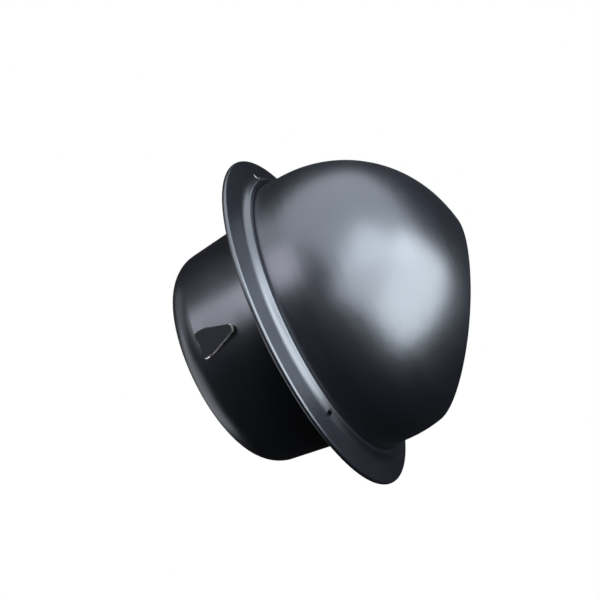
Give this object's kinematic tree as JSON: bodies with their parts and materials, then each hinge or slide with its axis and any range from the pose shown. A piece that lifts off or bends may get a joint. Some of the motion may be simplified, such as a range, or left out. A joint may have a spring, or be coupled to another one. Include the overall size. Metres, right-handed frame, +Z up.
{
  "type": "round hooded duct outlet with gravity flap",
  "caption": "Round sheet-metal outlet hood for a 100 mm duct: cut-away dome held in a raised rim on its flange, barbed collar, insect screen and a gravity flap inside the collar.",
  "frame": {"origin": "centre of the duct collar in the plane of the wall", "axes": "+Y into the wall along the duct, -Y out to the weather, +Z up"},
  "size_m": [0.14, 0.1119, 0.14],
  "materials": {
    "black_coat": "satin",
    "stainless": "brushed",
    "zinc_sheet": "satin",
    "aluminium": "satin",
    "foam": "matte",
    "nylon": "matte"
  },
  "bodies": {
    "housing": {"hood_shell": "black_coat", "base_flange": "black_coat", "collar": "black_coat", "wall_gasket": "foam", "hood_screws": "stainless", "insect_screen": "stainless", "screen_ring": "stainless", "screen_rivets": "aluminium", "seat_ring": "zinc_sheet", "seat_seal": "foam", "hinge_bushes": "nylon"},
    "flap": {"flap_plate": "aluminium", "hinge_strap": "stainless", "strap_rivets": "aluminium", "flap_weight": "zinc_sheet", "weight_rivets": "aluminium", "hinge_pin": "stainless", "pin_clips": "stainless"}
  },
  "joints": [
    {"name": "flap_swing", "type": "hinge", "parent": "housing", "child": "flap", "pos_m": [0, 0.0256, 0.036], "axis": [-1, 0, 0], "range_deg": [0, 65]}
  ]
}
